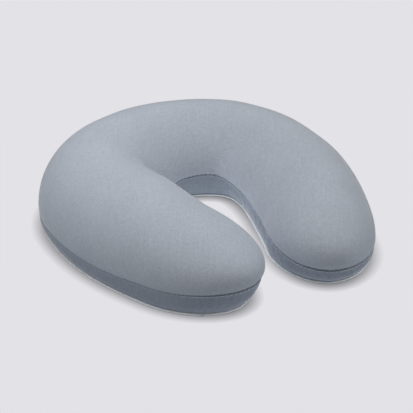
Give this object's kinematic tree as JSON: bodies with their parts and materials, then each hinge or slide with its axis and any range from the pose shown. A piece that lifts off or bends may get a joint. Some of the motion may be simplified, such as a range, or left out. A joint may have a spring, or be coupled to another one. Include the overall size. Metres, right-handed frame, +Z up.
{
  "type": "neck pillow",
  "caption": "U-shaped neck pillow with a rounded crown, a sewn side band and a flat base panel.",
  "frame": {"origin": "on the surface that the pillow rests on, under the middle of its box", "axes": "+X towards the right arm, +Y towards the closed back, -Y out of the opening between the arms, +Z up"},
  "size_m": [0.3004, 0.3354, 0.084],
  "materials": {
    "heather_grey_knit": "soft brushed knit with a faint heather",
    "grey_band_knit": "soft brushed knit with a faint heather",
    "pale_base_cloth": "matt woven cloth"
  },
  "bodies": {
    "root": {"crown_cushion": "heather_grey_knit", "side_band": "grey_band_knit", "base_panel": "pale_base_cloth"}
  },
  "joints": []
}
